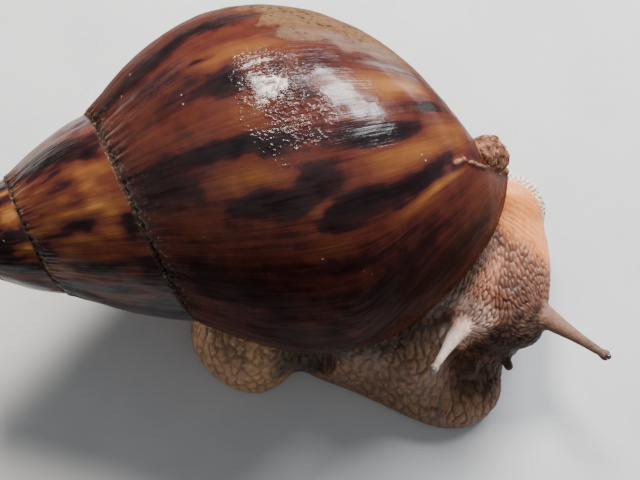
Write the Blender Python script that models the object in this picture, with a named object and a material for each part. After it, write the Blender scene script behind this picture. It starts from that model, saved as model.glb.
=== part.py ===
"""A giant African land snail, life size, sitting still on a flat floor.

The shell is a right-handed spiral with a blunt apex, carried with its axis almost level. The animal faces +X
and turns its head to its right, towards -Y. The soft body is modelled as one closed form, cut to fit the
shell, and parted into named lengths with thin cuts. Units are metres, +Z is up, and the origin is at the
bottom centre of the bounding box.
"""

import math

import bmesh
import bpy
import numpy as np
from mathutils import Matrix, Vector

MM = 0.001
TURN = 2 * math.pi
GAP = 0.35 * MM

# Where the shell sits: the spiral's own apex point, and the turn of its axis from there to the base.
SHELL_APEX = Vector((-73.7, -5.3, 38.8)) * MM
AXIS_HEADING = math.radians(14.8)
AXIS_PITCH = math.radians(-2.8)
LIP_ROLL = math.radians(24.8)

# The whorl at the outer lip, measured out from the axis and along it from the apex point.
SUTURE_R = 24.0 * MM
SUTURE_Z = 49.0 * MM
WIDEST_R = 35.5 * MM
WIDEST_Z = 76.3 * MM
BASE_R = 4.2 * MM
BASE_Z = 112.9 * MM
SPIRE_RATE = 0.095
BASE_RATE = 0.054
SHOULDER_SLOPE = 0.83
SPIRE_SHOULDER_SLOPE = 0.69
SPIRE_EDGE_SLOPE = 0.29
ROUNDING_TURN = 2.5
BASE_ROUNDNESS = 1.235
LIP_SWEEP = 0.35
LIP_HOLLOW = -0.65
WHORLS = 3.75
APEX_BALL_Z = 10.0 * MM
APEX_BALL_R = 5.1 * MM
BASE_KNOB = (105.5 * MM, 2.5 * MM)

LIP_THICKNESS = 1.3 * MM
LIP_TAPER_ROWS = 3
MOUTH_DEPTH = 2
MOUTH_WALL = 1.7 * MM

STEPS_PER_TURN = 36
UPPER_ROWS = 6
LOWER_ROWS = 12

COLLAR_RADIUS = 2.6 * MM
COLLAR_INSET = 4.4 * MM
COLLAR_START = 2
COLLAR_END = 2
COLLAR_TAPER_ROWS = 5
COLLAR_SIDES = 12

# Outline of the sole on the floor, from the tip of the tail along the animal's right side.
TAIL_SIDE = ((-27.5, -12.0), (-24.5, -18.5), (-19.0, -23.0), (-13.0, -24.5), (-8.5, -22.5))
FOLD = ((-4.5, -19.5),)
RIGHT_SIDE = ((0.0, -21.5), (8.0, -24.5), (16.5, -28.5), (24.5, -31.5), (31.5, -31.0), (37.0, -26.0))
FRONT = ((38.0, -18.0), (40.5, -9.0), (42.5, 3.0), (41.5, 14.0))
LEFT_SIDE = ((34.0, 21.0), (22.0, 23.0), (8.0, 21.0), (-6.0, 16.0), (-18.0, 8.0), (-26.0, -2.0))
SOLE = TAIL_SIDE + FOLD + RIGHT_SIDE + FRONT + LEFT_SIDE
SOLE_CENTRE = (8.0, -4.0)
SOLE_DIP = 2.5

# Height of each level of the foot's flank, and how wide it is there beside the sole.
FLANK = ((-SOLE_DIP, 0.97), (0.0, 0.985), (1.8, 1.0), (4.0, 0.985), (6.0, 0.94), (8.0, 0.86), (10.0, 0.7))

# Rounded masses of the body: centre and half sizes, in millimetres.
MASSES = {
    "tail_lobe": ((-14.5, -12.5, 5.0), (12.0, 11.0, 13.0)),
    "flank_rear": ((8.0, -11.0, 6.0), (13.0, 12.5, 18.0)),
    "flank_front": ((18.5, -13.5, 6.0), (10.0, 13.0, 17.0)),
    "flank_corner": ((22.5, -17.5, 3.5), (8.0, 11.0, 10.5)),
    "foot_tip": ((28.5, -19.5, 1.0), (9.5, 11.0, 8.5)),
    "back": ((8.0, 0.0, 12.0), (24.0, 15.0, 18.0)),
    "throat": ((21.0, 0.0, 20.0), (13.5, 13.0, 15.0)),
    "shoulder": ((36.5, 11.0, 15.0), (9.5, 8.0, 10.5)),
    "muzzle": ((34.0, -14.3, 8.5), (7.0, 5.3, 8.0)),
}
BREATHING_POCKET = ((-2.0, -20.5, 15.5), (5.0, 5.5, 11.0))

# The neck rises out of the shell and turns to the right: centre, half width, half height, in millimetres.
NECK_SIDES = 20
NECK = (
    ((14.0, 10.0, 19.0), 10.5, 10.5),
    ((25.0, 11.0, 16.5), 11.5, 10.5),
    ((33.0, 6.5, 14.5), 11.8, 10.8),
    ((35.8, -1.5, 14.2), 10.6, 10.6),
    ((35.2, -9.0, 15.0), 9.8, 9.6),
    ((35.0, -13.2, 15.6), 9.2, 7.6),
    ((34.6, -16.0, 15.4), 7.0, 5.2),
    ((34.4, -17.6, 15.0), 3.0, 2.4),
)

# Feelers: foot, tip, radius at the foot, radius of the stalk, radius of the end, in millimetres.
UPPER_FEELERS = {
    "right": ((28.5, -11.5, 17.5), (20.9, -23.2, 28.0), 3.2, 0.85, 1.05),
    "left": ((42.0, -10.0, 17.0), (52.5, -20.6, 27.0), 3.0, 0.95, 1.2),
}
LOWER_FEELERS = {
    "right": ((31.4, -15.5, 10.6), (30.3, -20.9, 10.0), 1.5, 1.0, 1.05),
    "left": ((36.4, -15.2, 10.6), (37.6, -19.9, 10.2), 1.5, 1.0, 1.05),
}
STALK_TAPER = 1.6
STALK_PART = 0.88
STALK_STEPS = 8
END_ANGLES = (40, 65, 90, 115, 140, 162)
FEELER_SIDES = 12
EYE_RADIUS = 0.6 * MM
EYE_SHOW = 0.3 * MM
EYE_LIFT = 0.5

FLESH_VOXEL = 1.1 * MM
FLESH_SMOOTHING = 8
FLESH_FACES = 4100

# Where thin cuts part the body, in millimetres. The neck and head are the block past the first three.
REACH = 90.0
BLADE = 0.35
NECK_SIDE = 25.0
NECK_FRONT = -19.5
NECK_FLOOR = 7.0
HEAD_BACK = -6.0
FRONT_CUT = 13.0
REAR_CUT = -6.0

COLOURS = {
    "shell": ((0.30, 0.13, 0.04, 1.0), 0.25),
    "flesh": ((0.48, 0.36, 0.27, 1.0), 0.5),
    "collar": ((0.55, 0.45, 0.35, 1.0), 0.45),
    "feeler": ((0.42, 0.32, 0.26, 1.0), 0.45),
    "eye": ((0.03, 0.02, 0.02, 1.0), 0.15),
}


def clear_scene():
    """Removes whatever objects the scene starts with."""
    for other in list(bpy.data.objects):
        bpy.data.objects.remove(other)


def principled(name):
    """One material with the colour and roughness of its kind."""
    colour, roughness = COLOURS[name]
    material = bpy.data.materials.new(name)
    material.use_nodes = True
    shader = material.node_tree.nodes["Principled BSDF"]
    shader.inputs["Base Color"].default_value = colour
    shader.inputs["Roughness"].default_value = roughness
    return material


def add_object(name, mesh):
    """Links a mesh into the scene under a name."""
    thing = bpy.data.objects.new(name, mesh)
    bpy.context.scene.collection.objects.link(thing)
    return thing


def mesh_from(bm, name):
    """Turns an edit mesh into a mesh with its faces pointing out."""
    bmesh.ops.recalc_face_normals(bm, faces=bm.faces)
    mesh = bpy.data.meshes.new(name)
    bm.to_mesh(mesh)
    bm.free()
    return mesh


def smooth_step(value):
    """Rises from 0 to 1 with level ends."""
    held = min(max(value, 0.0), 1.0)
    return held * held * (3.0 - 2.0 * held)


# The shell.

def axis_frame():
    """The shell's axis, the level direction to its right, and the upward direction square to both."""
    level = Vector((math.cos(AXIS_HEADING), math.sin(AXIS_HEADING), 0.0))
    along = level * math.cos(AXIS_PITCH) + Vector((0.0, 0.0, math.sin(AXIS_PITCH)))
    side = along.cross(Vector((0.0, 0.0, 1.0))).normalized()
    return along, side, side.cross(along)


def whorl_sizes(growth):
    """Suture, widest place and base end at a growth angle; 0 is the lip and -TURN is one whorl earlier."""
    past = growth + TURN
    late = max(past, 0.0)
    slow_r = (SPIRE_RATE * TURN - math.log(WIDEST_R / SUTURE_R)) / TURN ** 2
    slow_z = (SPIRE_RATE * TURN - math.log(WIDEST_Z / SUTURE_Z)) / TURN ** 2
    suture = math.exp(SPIRE_RATE * growth)
    base = math.exp(BASE_RATE * growth)
    widest_r = SUTURE_R * math.exp(SPIRE_RATE * past - slow_r * late ** 2)
    widest_z = SUTURE_Z * math.exp(SPIRE_RATE * past - slow_z * late ** 2)
    return (SUTURE_R * suture, SUTURE_Z * suture), (widest_r, widest_z), (BASE_R * base, BASE_Z * base)


def profile_point(growth, row):
    """Radius, height along the axis and sweep of one point of the whorl's outline, from suture to base."""
    suture, widest, base = whorl_sizes(growth)
    if row <= UPPER_ROWS:
        part = row / UPPER_ROWS
        flat = 1.0 - smooth_step((growth + TURN) / ROUNDING_TURN)
        shoulder = SHOULDER_SLOPE + (SPIRE_SHOULDER_SLOPE - SHOULDER_SLOPE) * flat
        edge = SPIRE_EDGE_SLOPE * flat
        height = widest[1] - suture[1]
        start = 2 * part ** 3 - 3 * part ** 2 + 1
        leaving = (part ** 3 - 2 * part ** 2 + part) * shoulder * height
        arriving = (part ** 3 - part ** 2) * edge * height
        radius = start * suture[0] + leaving + arriving + (1 - start) * widest[0]
        return radius, suture[1] + height * part, 0.0
    part = (row - UPPER_ROWS) / LOWER_ROWS
    bend = part * math.pi / 2
    reach = max(math.cos(bend), 0.0) ** BASE_ROUNDNESS
    fall = math.sin(bend) ** BASE_ROUNDNESS
    sweep = LIP_SWEEP * part + LIP_HOLLOW * math.sin(math.pi * part)
    return base[0] + (widest[0] - base[0]) * reach, widest[1] + (base[1] - widest[1]) * fall, sweep


def blunted(point, along):
    """Draws a point near the apex in to the round first whorl."""
    centre = SHELL_APEX + along * APEX_BALL_Z
    offset = point - centre
    if offset.dot(along) < 0 and offset.length > APEX_BALL_R:
        return centre + offset.normalized() * APEX_BALL_R
    return point


def shell_point(growth, row, frame):
    """A point of the shell's outside."""
    along, side, up = frame
    radius, height, sweep = profile_point(growth, row)
    turn = growth + sweep + LIP_ROLL
    point = SHELL_APEX + along * height + (side * math.cos(turn) - up * math.sin(turn)) * radius
    return blunted(point, along)


def shell_normal(growth, row, frame):
    """The outward direction of the shell's outside near one point."""
    step = 0.02
    low, high = max(row - 0.5, 0.0), min(row + 0.5, UPPER_ROWS + LOWER_ROWS - 0.01)
    down = shell_point(growth, high, frame) - shell_point(growth, low, frame)
    forward = shell_point(growth + step, row, frame) - shell_point(growth - step, row, frame)
    return forward.cross(down).normalized()


def inner_point(growth, row, inset, frame):
    """A point under the shell's outside; the wall thins out towards the suture."""
    taper = min(1.0, row / LIP_TAPER_ROWS)
    normal = shell_normal(growth, row, frame)
    centre = SHELL_APEX + frame[0] * profile_point(growth, row)[1]
    outside = shell_point(growth, row, frame)
    if normal.dot(outside - centre) < 0:
        normal.negate()
    return outside - normal * inset * taper


def fan(bm, loop, centre):
    """Closes a loop of vertices with triangles to one new vertex."""
    hub = bm.verts.new(centre)
    for first, second in zip(loop, loop[1:] + loop[:1]):
        if first is not second:
            bm.faces.new((first, second, hub))


def zip_rows(bm, first, second):
    """Fills the strip between two rows of vertices that may differ in count and share their ends."""
    i = j = 0
    while i < len(first) - 1 or j < len(second) - 1:
        step_first = j == len(second) - 1 or (
            i < len(first) - 1 and (i + 1) / (len(first) - 1) <= (j + 1) / (len(second) - 1))
        if step_first:
            corners = (first[i], first[i + 1], second[j])
            i += 1
        else:
            corners = (first[i], second[j + 1], second[j])
            j += 1
        if len(set(corners)) == 3:
            bm.faces.new(corners)


def shell_grid(bm, frame):
    """Vertices of the outside by step and row; each whorl ends on the suture of the next one."""
    last_row = UPPER_ROWS + LOWER_ROWS
    steps = round(WHORLS * STEPS_PER_TURN)
    grid = []
    for step in range(steps + 1):
        growth = -step * TURN / STEPS_PER_TURN
        rows = last_row if step <= STEPS_PER_TURN else UPPER_ROWS
        column = []
        for row in range(rows + 1):
            if step >= STEPS_PER_TURN and row == UPPER_ROWS:
                column.append(grid[step - STEPS_PER_TURN][0])
            else:
                column.append(bm.verts.new(shell_point(growth, row, frame)))
        grid.append(column)
    return grid


def shell_mouth(bm, grid, frame):
    """The lip's thickness, the wall inside it and the slanting floor of the mouth; returns its base edge."""
    last_row = UPPER_ROWS + LOWER_ROWS
    lip = grid[0]
    edge = [lip[0]]
    wall = [lip[0]]
    for row in range(1, last_row + 1):
        edge.append(bm.verts.new(inner_point(0.0, row, LIP_THICKNESS, frame)))
        behind = -MOUTH_DEPTH * TURN / STEPS_PER_TURN * min(1.0, row / LIP_TAPER_ROWS)
        wall.append(bm.verts.new(inner_point(behind, row, MOUTH_WALL, frame)))
    zip_rows(bm, lip, edge)
    zip_rows(bm, edge, wall)
    parietal = grid[STEPS_PER_TURN][UPPER_ROWS:]
    zip_rows(bm, wall, parietal)
    return [parietal[-1], wall[-1], edge[-1]]


def shell_mesh(name, swell=0.0):
    """The whole shell as one closed form; swell pushes its surface out."""
    frame = axis_frame()
    bm = bmesh.new()
    grid = shell_grid(bm, frame)
    for first, second in zip(grid, grid[1:]):
        for row in range(min(len(first), len(second)) - 1):
            bm.faces.new((first[row], first[row + 1], second[row + 1], second[row]))
    base_edge = shell_mouth(bm, grid, frame)
    base = [grid[step][-1] for step in range(STEPS_PER_TURN + 1)]
    fan(bm, base + base_edge[1:], SHELL_APEX + frame[0] * BASE_KNOB[0] + frame[1] * BASE_KNOB[1])
    inner_turn = [column[0] for column in grid[-STEPS_PER_TURN - 1:]]
    tip = SHELL_APEX + frame[0] * (APEX_BALL_Z - APEX_BALL_R)
    fan(bm, inner_turn + grid[-1][1:-1], tip)
    bmesh.ops.recalc_face_normals(bm, faces=bm.faces)
    bm.normal_update()
    if swell:
        moves = [(vertex, vertex.normal * swell) for vertex in bm.verts]
        for vertex, move in moves:
            vertex.co += move
    return mesh_from(bm, name)


# The soft body.

def smooth_loop(points, per_span):
    """A closed Catmull-Rom curve through flat points."""
    ring = []
    count = len(points)
    for index in range(count):
        a, b, c, d = (np.array(points[(index + shift) % count], float) for shift in (-1, 0, 1, 2))
        for sub in range(per_span):
            t = sub / per_span
            ring.append(0.5 * (2 * b + (c - a) * t + (2 * a - 5 * b + 4 * c - d) * t * t
                               + (3 * b - a - 3 * c + d) * t ** 3))
    return ring


def smooth_line(points, per_span):
    """An open Catmull-Rom curve through points of any length."""
    rows = [np.array(point, float) for point in points]
    rows = [2 * rows[0] - rows[1]] + rows + [2 * rows[-1] - rows[-2]]
    line = []
    for index in range(1, len(rows) - 2):
        a, b, c, d = rows[index - 1:index + 3]
        for sub in range(per_span):
            t = sub / per_span
            line.append(0.5 * (2 * b + (c - a) * t + (2 * a - 5 * b + 4 * c - d) * t * t
                               + (3 * b - a - 3 * c + d) * t ** 3))
    line.append(rows[-2])
    return line


def skin_rings(bm, rings):
    """Joins rings of points into one closed form, with a flat fan at each end."""
    loops = [[bm.verts.new(Vector(point)) for point in ring] for ring in rings]
    for first, second in zip(loops, loops[1:]):
        for index in range(len(first)):
            after = (index + 1) % len(first)
            bm.faces.new((first[index], first[after], second[after], second[index]))
    for loop, ring in ((loops[0], rings[0]), (loops[-1], rings[-1])):
        fan(bm, loop, Vector(np.mean(np.array(ring), axis=0)))


def add_foot(bm):
    """The foot's flank as levels of the sole's outline, drawn in towards the back."""
    outline = smooth_loop(SOLE, 4)
    centre = np.array(SOLE_CENTRE)
    rings = []
    for height, width in FLANK:
        flat = [centre + (point - centre) * width for point in outline]
        rings.append([(point[0] * MM, point[1] * MM, height * MM) for point in flat])
    skin_rings(bm, rings)


def add_mass(bm, centre, sizes):
    """One rounded mass."""
    place = Matrix.Translation(Vector(centre) * MM) @ Matrix.Diagonal((*(Vector(sizes) * MM), 1.0))
    bmesh.ops.create_icosphere(bm, subdivisions=3, radius=1.0, matrix=place)


def ring_about(centre, ahead, half_width, half_height, count):
    """An upright elliptical ring square to a direction."""
    across = ahead.cross(Vector((0.0, 0.0, 1.0))).normalized()
    above = across.cross(ahead).normalized()
    ring = []
    for index in range(count):
        angle = TURN * index / count
        ring.append(centre + across * half_width * math.cos(angle) + above * half_height * math.sin(angle))
    return ring


def add_tube(bm, stations, per_span, sides):
    """A bent tube through stations of centre, half width and half height, in metres."""
    line = smooth_line([(*centre, width, height) for centre, width, height in stations], per_span)
    rings = []
    for index, station in enumerate(line):
        before, after = line[max(index - 1, 0)], line[min(index + 1, len(line) - 1)]
        ahead = Vector(after[:3] - before[:3]).normalized()
        rings.append(ring_about(Vector(station[:3]), ahead, station[3], station[4], sides))
    skin_rings(bm, rings)


def in_metres(stations):
    """Stations given in millimetres, in metres."""
    return [(tuple(value * MM for value in centre), width * MM, height * MM)
            for centre, width, height in stations]


def modified(thing):
    """The object's mesh as its modifiers leave it."""
    bpy.context.view_layer.update()
    graph = bpy.context.evaluated_depsgraph_get()
    return bpy.data.meshes.new_from_object(thing.evaluated_get(graph))


def cut(thing, cutter_mesh, operation="DIFFERENCE"):
    """Cuts an object with a closed mesh, or joins the two."""
    cutter = add_object("cutter", cutter_mesh)
    step = thing.modifiers.new("cut", "BOOLEAN")
    step.operation = operation
    step.solver = "EXACT"
    step.object = cutter
    mesh = modified(thing)
    thing.modifiers.clear()
    thing.data = mesh
    bpy.data.objects.remove(cutter)


def box_mesh(low, high):
    """A box between two corners in metres."""
    bm = bmesh.new()
    middle = (Vector(low) + Vector(high)) / 2
    size = Vector(high) - Vector(low)
    bmesh.ops.create_cube(bm, size=1.0, matrix=Matrix.Translation(middle) @ Matrix.Diagonal((*size, 1.0)))
    return mesh_from(bm, "box")


def mass_mesh(centre, sizes):
    """One rounded mass as a mesh of its own."""
    bm = bmesh.new()
    add_mass(bm, centre, sizes)
    return mesh_from(bm, "mass")


def swollen(mesh, distance):
    """A copy of a mesh with its surface pushed out."""
    bm = bmesh.new()
    bm.from_mesh(mesh)
    bm.normal_update()
    moves = [(vertex, vertex.normal * distance) for vertex in bm.verts]
    for vertex, move in moves:
        vertex.co += move
    return mesh_from(bm, "swollen")


def rounded_flesh():
    """Foot, back, neck and head melted into one form, with few faces."""
    bm = bmesh.new()
    add_foot(bm)
    for centre, sizes in MASSES.values():
        add_mass(bm, centre, sizes)
    add_tube(bm, in_metres(NECK), 3, NECK_SIDES)
    rough = add_object("rough", mesh_from(bm, "rough"))
    remesh = rough.modifiers.new("melt", "REMESH")
    remesh.mode = "VOXEL"
    remesh.voxel_size = FLESH_VOXEL
    soften = rough.modifiers.new("soften", "SMOOTH")
    soften.factor = 0.5
    soften.iterations = FLESH_SMOOTHING
    melted = modified(rough)
    triangles = sum(len(face.vertices) - 2 for face in melted.polygons)
    thin = rough.modifiers.new("thin", "DECIMATE")
    thin.ratio = FLESH_FACES / triangles
    mesh = modified(rough)
    bpy.data.objects.remove(rough)
    return add_object("flesh", mesh)


def collar_mesh():
    """The mantle's soft rim: a roll along the inside of the lip."""
    frame = axis_frame()
    last_row = UPPER_ROWS + LOWER_ROWS
    stations = []
    for row in range(COLLAR_START, last_row - COLLAR_END):
        centre = inner_point(0.0, row, COLLAR_INSET, frame)
        rows_to_end = min(row - COLLAR_START + 2, last_row - COLLAR_END + 1 - row)
        thick = COLLAR_RADIUS * min(1.0, rows_to_end / COLLAR_TAPER_ROWS)
        stations.append((tuple(centre), thick, thick))
    bm = bmesh.new()
    add_tube(bm, stations, 1, COLLAR_SIDES)
    return mesh_from(bm, "collar")


def feeler_mesh(foot, tip, foot_radius, stalk_radius, end_radius):
    """A tapering stalk with a round end; its foot starts inside the head."""
    start, end = Vector(foot) * MM, Vector(tip) * MM
    reach = end - start
    ahead = reach.normalized()
    rings = []
    for step in range(STALK_STEPS + 1):
        part = step / STALK_STEPS
        radius = (stalk_radius + (foot_radius - stalk_radius) * (1.0 - part) ** STALK_TAPER) * MM
        rings.append(ring_about(start + reach * part * STALK_PART, ahead, radius, radius, FEELER_SIDES))
    for angle in END_ANGLES:
        turn = math.radians(angle)
        radius = end_radius * math.sin(turn) * MM
        place = end - ahead * (end_radius * MM * math.cos(turn))
        if (place - start).length > reach.length * (STALK_PART + 0.01):
            rings.append(ring_about(place, ahead, radius, radius, FEELER_SIDES))
    bm = bmesh.new()
    skin_rings(bm, rings)
    return mesh_from(bm, "feeler")


def eye_centre(foot, tip, end_radius):
    """Centre of the eye, at the end of an upper feeler and a little above its middle."""
    ahead = (Vector(tip) - Vector(foot)).normalized()
    facing = (ahead + Vector((0.0, 0.0, EYE_LIFT))).normalized()
    return Vector(tip) * MM + facing * (end_radius * MM + EYE_SHOW - EYE_RADIUS)


def ball_mesh(centre, radius):
    """A small round ball."""
    bm = bmesh.new()
    bmesh.ops.create_icosphere(bm, subdivisions=2, radius=radius, matrix=Matrix.Translation(centre))
    return mesh_from(bm, "ball")


def loose_groups(mesh):
    """Vertex indices of each connected piece of a mesh."""
    bm = bmesh.new()
    bm.from_mesh(mesh)
    bm.verts.index_update()
    left = set(bm.verts)
    groups = []
    while left:
        group, edge = set(), [left.pop()]
        while edge:
            vertex = edge.pop()
            group.add(vertex.index)
            for link in vertex.link_edges:
                other = link.other_vert(vertex)
                if other in left:
                    left.remove(other)
                    edge.append(other)
        groups.append(group)
    bm.free()
    return sorted(groups, key=min)


def piece_mesh(mesh, keep):
    """The part of a mesh that uses the given vertices."""
    bm = bmesh.new()
    bm.from_mesh(mesh)
    bm.verts.index_update()
    bmesh.ops.delete(bm, geom=[vertex for vertex in bm.verts if vertex.index not in keep], context="VERTS")
    return mesh_from(bm, "piece")


def sliced(name, mesh, low, high, operation="INTERSECT"):
    """The part of a mesh inside a box in millimetres, or outside it, as one object."""
    thing = add_object(name, mesh.copy())
    cut(thing, box_mesh(Vector(low) * MM, Vector(high) * MM), operation)
    groups = loose_groups(thing.data)
    thing.data = piece_mesh(thing.data, max(groups, key=len))
    return thing


def part_flesh(whole):
    """Parts the body into head, neck and three lengths of foot, a blade's thickness apart."""
    corner = np.array((NECK_SIDE, NECK_FRONT, NECK_FLOOR))
    far = (REACH, REACH, REACH)
    front = sliced("front", whole, corner + BLADE, far)
    rest = sliced("rest", whole, corner, far, "DIFFERENCE")
    slices = (
        ("head", front, (-REACH, -REACH, -REACH), (REACH, HEAD_BACK, REACH)),
        ("neck", front, (-REACH, HEAD_BACK + BLADE, -REACH), far),
        ("foot_front", rest, (FRONT_CUT + BLADE, -REACH, -REACH), far),
        ("foot_middle", rest, (REAR_CUT + BLADE, -REACH, -REACH), (FRONT_CUT, REACH, REACH)),
        ("tail", rest, (-REACH, -REACH, -REACH), (REAR_CUT, REACH, REACH)),
    )
    lengths = [sliced(name, source.data, low, high) for name, source, low, high in slices]
    for source in (front, rest):
        bpy.data.objects.remove(source)
    return lengths


def build_body(shell_space):
    """Foot, tail, neck, head and mantle, cut clear of the shell; returns them and the uncut flesh."""
    flesh = rounded_flesh()
    cut(flesh, box_mesh((-REACH * MM, -REACH * MM, -REACH * MM), (REACH * MM, REACH * MM, 0.0)))
    cut(flesh, mass_mesh(*BREATHING_POCKET))
    cut(flesh, shell_space.copy())
    collar = add_object("mantle_collar", collar_mesh())
    cut(collar, shell_space.copy())
    cut(flesh, swollen(collar.data, GAP))
    whole = flesh.data.copy()
    bpy.data.objects.remove(flesh)
    return collar, part_flesh(whole), whole


def build_feelers(whole):
    """The four feelers, cut to the head, and an eye in the end of each upper one."""
    head_space = swollen(whole, GAP)
    feelers, eyes = [], []
    for kind, sizes in (("upper", UPPER_FEELERS), ("lower", LOWER_FEELERS)):
        for side, (foot, tip, foot_radius, stalk_radius, end_radius) in sizes.items():
            mesh = feeler_mesh(foot, tip, foot_radius, stalk_radius, end_radius)
            feeler = add_object(f"feeler_{kind}_{side}", mesh)
            cut(feeler, head_space.copy())
            if kind == "upper":
                centre = eye_centre(foot, tip, end_radius)
                cut(feeler, ball_mesh(centre, EYE_RADIUS + GAP))
                eyes.append(add_object(f"eye_{side}", ball_mesh(centre, EYE_RADIUS)))
            feelers.append(feeler)
    return feelers, eyes


def settle_origin(things):
    """Moves everything so that the origin is at the bottom centre of the whole."""
    points = np.array([vertex.co[:] for thing in things for vertex in thing.data.vertices])
    low, high = points.min(axis=0), points.max(axis=0)
    shift = Vector((-(low[0] + high[0]) / 2, -(low[1] + high[1]) / 2, -low[2]))
    for thing in things:
        thing.data.transform(Matrix.Translation(shift))


def dress(things, material):
    """Gives objects one material and shades them smooth."""
    for thing in things:
        thing.data.materials.clear()
        thing.data.materials.append(material)
        thing.data.shade_smooth()


def main():
    """Builds the snail."""
    clear_scene()
    shell = add_object("shell", shell_mesh("shell"))
    collar, lengths, whole = build_body(shell_mesh("shell_space", GAP))
    feelers, eyes = build_feelers(whole)
    dress([shell], principled("shell"))
    dress([collar], principled("collar"))
    dress(lengths, principled("flesh"))
    dress(feelers, principled("feeler"))
    dress(eyes, principled("eye"))
    settle_origin([shell, collar] + lengths + feelers + eyes)


main()
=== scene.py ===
"""The looks of the giant African land snail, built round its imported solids.

A fine shell with growth lines, streaks and a worn back; one pebbled skin over foot, neck, head and feelers;
glossy eyes; a pale floor, soft lights and the camera. Sizes are in metres, angles in radians, +Z is up.
Names that end in mm take millimetres. Colours are red, green and blue in thousandths of full light.
"""

import math

import bmesh
import bpy
import numpy as np
from mathutils import Matrix, Vector, kdtree


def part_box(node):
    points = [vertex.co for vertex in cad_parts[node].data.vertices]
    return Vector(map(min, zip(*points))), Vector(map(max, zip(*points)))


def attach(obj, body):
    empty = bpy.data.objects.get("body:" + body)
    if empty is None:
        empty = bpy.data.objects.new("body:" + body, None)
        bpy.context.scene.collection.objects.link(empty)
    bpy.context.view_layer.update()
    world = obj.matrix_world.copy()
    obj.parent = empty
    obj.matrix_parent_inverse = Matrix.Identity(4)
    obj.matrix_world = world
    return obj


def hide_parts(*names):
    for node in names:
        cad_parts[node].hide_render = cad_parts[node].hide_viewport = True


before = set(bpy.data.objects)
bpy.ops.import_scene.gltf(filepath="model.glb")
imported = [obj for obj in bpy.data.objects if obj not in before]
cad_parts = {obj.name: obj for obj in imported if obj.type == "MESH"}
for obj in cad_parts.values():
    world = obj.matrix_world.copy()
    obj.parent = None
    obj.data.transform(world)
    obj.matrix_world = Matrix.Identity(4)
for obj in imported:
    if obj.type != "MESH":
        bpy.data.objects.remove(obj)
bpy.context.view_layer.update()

MM = 0.001
TURN = 2 * math.pi
DEGREE = math.pi / 180

# The shell's spiral, as in the solids: where it sits and how the whorl at the lip is shaped.
AXIS_HEADING = 14.8 * DEGREE
AXIS_PITCH = -2.8 * DEGREE
LIP_ROLL = 24.8 * DEGREE
SUTURE_R = 24 * MM
SUTURE_Z = 49 * MM
WIDEST_R = 35.5 * MM
WIDEST_Z = 76.3 * MM
BASE_R = 4.2 * MM
BASE_Z = 112.9 * MM
SPIRE_RATE = 0.095
BASE_RATE = 0.054
SHOULDER_SLOPE = 0.83
SPIRE_SHOULDER_SLOPE = 0.69
SPIRE_EDGE_SLOPE = 0.29
ROUNDING_TURN = 2.5
BASE_ROUNDNESS = 1.235
LIP_SWEEP = 0.35
LIP_HOLLOW = -0.65
WHORLS = 3.75
APEX_BALL_Z = 10 * MM
APEX_BALL_R = 5.1 * MM
BASE_KNOB = (105.5 * MM, 2.5 * MM)
LIP_THICKNESS = 1.3 * MM
MOUTH_WALL = 1.7 * MM
MOUTH_DEPTH = 20 * DEGREE
LIP_TAPER = 0.5
CAD_STEPS = 36
CAD_ROWS = (6, 12)

# How finely the shell is modelled here: steps in one turn, rows above and below the widest place.
STEPS = 480
ROWS = (44, 110)
CAP_RINGS = 8

# The rough lump at the base: its middle from the lip's end, the way it lies, and its half sizes.
KNOB_PLACE = (-6.9 * MM, 4.6 * MM, 7.4 * MM)
KNOB_SLOPE = (0.53, -0.115, -0.84)
KNOB_SIZE = (7.5 * MM, 3.4 * MM, 3.5 * MM)

# Flames and streaks of the shell: growth angle in degrees, place from suture (0) over widest (1) to base
# (2), half width in degrees, half length, and tone from below -1, black brown, to above 1, amber.
STREAKS = (
    (-134.5, 0.84, 5, 0.26, 1), (-136, 0.7, 1, 0.09, -0.9), (-125, 0.77, 4, 0.13, -0.8),
    (-113, 0.76, 5.5, 0.17, 0.5), (-104.5, 0.7, 3.2, 0.23, -1), (-106, 0.3, 3, 0.3, -0.5),
    (-95.5, 0.66, 3.8, 0.19, 0.62), (-98, 0.25, 8, 0.28, -0.5), (-87, 0.72, 4.5, 0.18, -0.9),
    (-82, 1.02, 2.2, 0.06, 0.8), (-90, 1, 5, 0.1, -0.7), (-76.5, 1.02, 2.5, 0.08, -0.6),
    (-156, 0.68, 5, 0.27, -0.8), (-154, 0.42, 7, 0.5, -0.75), (-116.5, 1.38, 5.8, 0.18, 1.45),
    (-107.5, 1.54, 2.5, 0.06, -0.7), (-99.5, 1.26, 3.8, 0.14, -1.2), (-91, 1.31, 6, 0.13, 1),
    (-94, 1.55, 8, 0.14, 0.75), (-87, 1.46, 2.8, 0.12, -0.8), (-82.5, 1.29, 3, 0.14, -1),
    (-80.5, 1.14, 3.6, 0.1, -1), (-75.8, 1.41, 2.8, 0.12, 1.2), (-73, 1.28, 2.8, 0.1, 0.9),
    (-71, 0.95, 3, 0.19, 0.45), (-60, 0.5, 12, 0.6, -0.25), (-50, 1.2, 12, 0.2, -0.25),
    (-30, 0.9, 14, 0.6, -0.3), (-40, 1.66, 24, 0.24, 0.2), (-22, 1.36, 9, 0.17, -0.8),
    (-485, 0.42, 8, 0.28, 0.4), (-468, 0.72, 6, 0.1, 0.8), (-450, 0.76, 6, 0.14, 0.95),
    (-488, 0.84, 5, 0.1, -0.9), (-440, 0.6, 9, 0.5, -0.35), (-828, 0.84, 9, 0.2, 1.4),
    (-800, 0.7, 7, 0.3, 0.1),
)
SHOWN_TONE = -0.22
STREAK_SIDE = (-175, 20)

# The pale mended scar that runs to the base, in growth angles and places, and the scale to measure it.
SCAR = ((-55.4, 1.5), (-56.2, 1.55), (-54.3, 1.6), (-51.6, 1.66), (-49, 1.74), (-38, 1.81), (-20, 1.84),
        (-2, 1.84))
SCAR_SCALE = (0.42, 58)
SCAR_WIDTH = 0.62

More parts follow.
